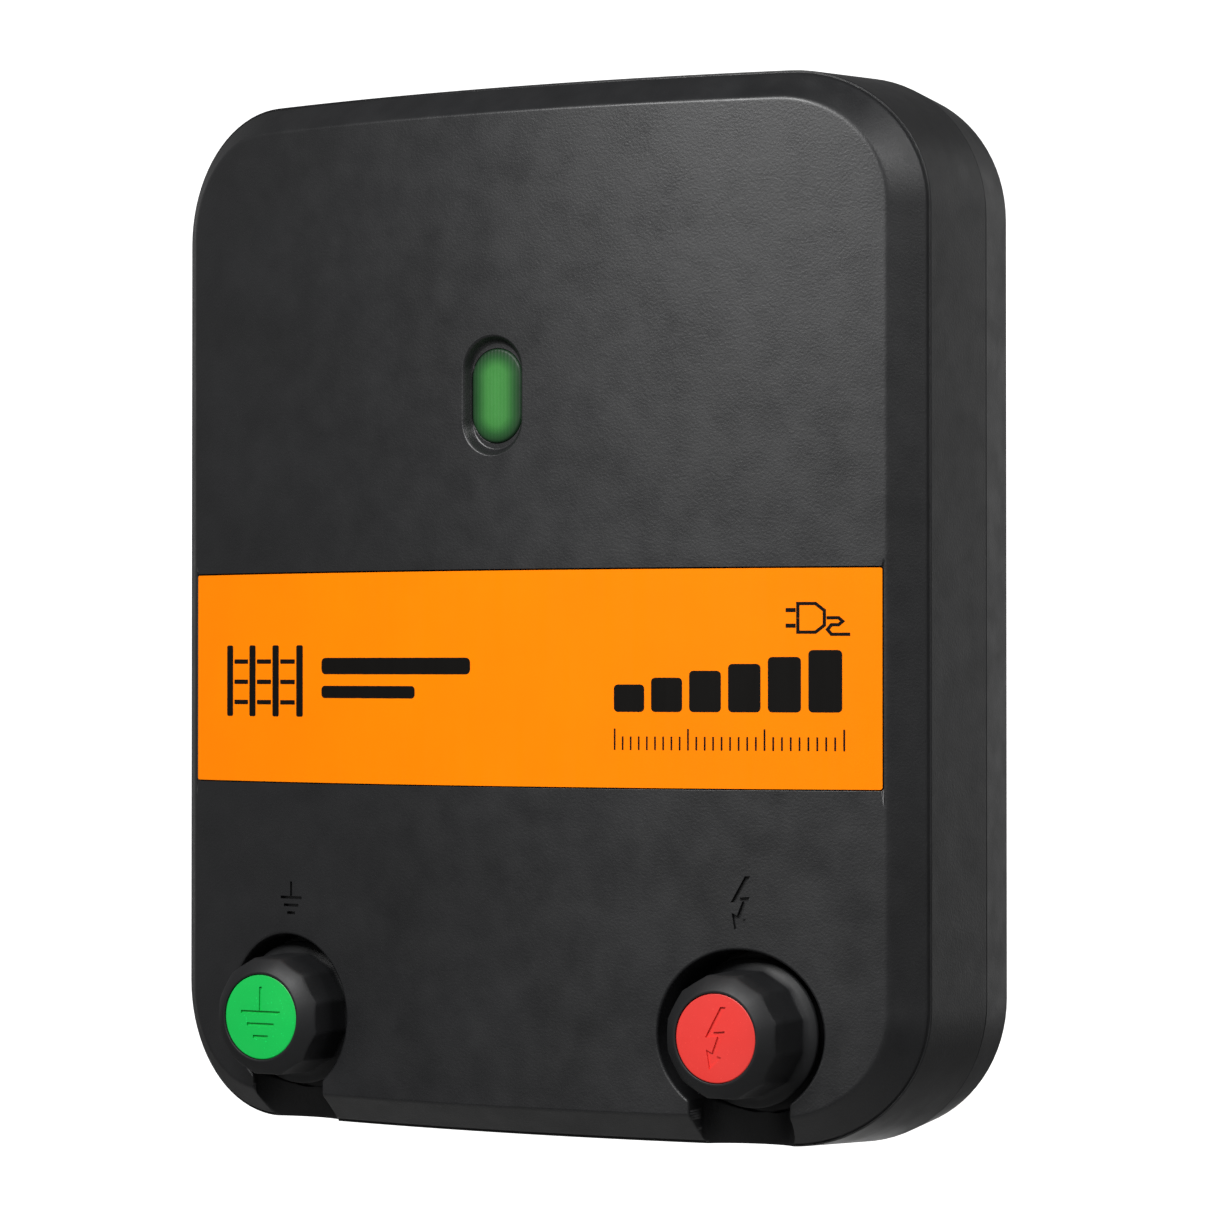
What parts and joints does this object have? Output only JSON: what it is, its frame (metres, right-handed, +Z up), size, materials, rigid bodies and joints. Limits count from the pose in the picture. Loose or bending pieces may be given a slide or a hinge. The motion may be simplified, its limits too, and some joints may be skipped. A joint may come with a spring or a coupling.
{
  "type": "fence energizer",
  "caption": "Wall-hung mains electric fence energizer with a curved black case, orange label band, green indicator window and screw-down earth and fence terminals.",
  "frame": {"origin": "centre of the flat back that lies against the wall, level with the middle of the case's height", "axes": "+X right and +Z up as seen from the front, -Y out of the wall towards the viewer"},
  "size_m": [0.211, 0.0703, 0.2556],
  "materials": {
    "case_front": "fine-textured satin black",
    "case_rear": "fine-textured satin black",
    "knob_plastic": "smooth satin black",
    "black_plastic": "moulded black",
    "white_plastic": "moulded natural white",
    "green_plastic": "moulded green",
    "label": "printed satin film",
    "lens": "translucent green",
    "red_disc": "moulded red",
    "green_disc": "moulded green",
    "led": "diffused green epoxy",
    "rubber": "matt",
    "board": "solder mask",
    "steel": "zinc plated",
    "stainless": "bright",
    "core_steel": "varnished laminations",
    "aluminium": "extruded",
    "brass": "machined",
    "tinned_brass": "tin plated",
    "copper": "enamelled wire",
    "ferrite": "sintered",
    "resistor_body": "cement",
    "varistor_body": "epoxy coated",
    "capacitor_sleeve": "tape wrapped",
    "film_capacitor": "moulded box",
    "can_sleeve": "shrink sleeve",
    "winding_tape": "polyester tape",
    "fuse_glass": "clear tube",
    "brown_wire": "insulation",
    "yellow_wire": "insulation",
    "red_wire": "insulation",
    "green_wire": "insulation"
  },
  "bodies": {
    "case": {"front_cover": "case_front", "rear_housing": "case_rear", "cover_gasket": "rubber", "label": "label", "indicator_lens": "lens", "led_spacers": "white_plastic", "indicator_leds": "led", "control_board": "board", "board_screws": "steel", "cover_screws": "steel", "storage_capacitors": "capacitor_sleeve", "capacitor_cradle": "white_plastic", "capacitor_ties": "black_plastic", "heatsink": "aluminium", "thyristors": "black_plastic", "power_resistors": "resistor_body", "bridge_rectifier": "black_plastic", "fuse": "fuse_glass", "fuse_clips": "brass", "varistor": "varistor_body", "choke_core": "ferrite", "choke_windings": "copper", "filter_capacitor": "film_capacitor", "reservoir_capacitor": "can_sleeve", "flyback_core": "ferrite", "flyback_winding": "winding_tape", "controller_chip": "black_plastic", "board_terminals": "green_plastic", "e_core": "core_steel", "i_core": "core_steel", "bobbin": "white_plastic", "primary_winding": "copper", "secondary_winding": "copper", "transformer_brackets": "steel", "transformer_bolts": "steel", "transformer_nuts": "steel", "bracket_screws": "steel", "mains_terminal_block": "white_plastic", "mains_leads": "brown_wire", "primary_leads": "yellow_wire", "fence_lead": "red_wire", "earth_lead": "green_wire", "terminal_lugs": "tinned_brass", "stud_nuts": "brass", "stud_seals": "rubber", "fence_stud": "brass", "earth_stud": "brass", "fence_contact": "stainless", "earth_contact": "stainless", "cord_gland": "black_plastic"},
    "fence_clamp": {"fence_washer": "stainless"},
    "fence_grip": {"fence_knob": "knob_plastic", "fence_bush": "brass", "fence_disc": "red_disc"},
    "earth_clamp": {"earth_washer": "stainless"},
    "earth_grip": {"earth_knob": "knob_plastic", "earth_bush": "brass", "earth_disc": "green_disc"}
  },
  "joints": [
    {"name": "fence_clamp_travel", "type": "slide", "parent": "case", "child": "fence_clamp", "axis": [0, -1, 0], "range_m": [-0.00417, 0.005]},
    {"name": "fence_knob_turn", "type": "hinge", "parent": "fence_clamp", "child": "fence_grip", "pos_m": [0.0626, -0.06, -0.0988], "axis": [0, -1, 0], "range_deg": [-1200, 1441]},
    {"name": "earth_clamp_travel", "type": "slide", "parent": "case", "child": "earth_clamp", "axis": [0, -1, 0], "range_m": [-0.00417, 0.005]},
    {"name": "earth_knob_turn", "type": "hinge", "parent": "earth_clamp", "child": "earth_grip", "pos_m": [-0.0626, -0.06, -0.0988], "axis": [0, -1, 0], "range_deg": [-1200, 1441]}
  ],
  "couplings": [
    {"joint": "fence_knob_turn", "follows": "fence_clamp_travel", "rad_per_m": 5026.5},
    {"joint": "earth_knob_turn", "follows": "earth_clamp_travel", "rad_per_m": 5026.5}
  ]
}
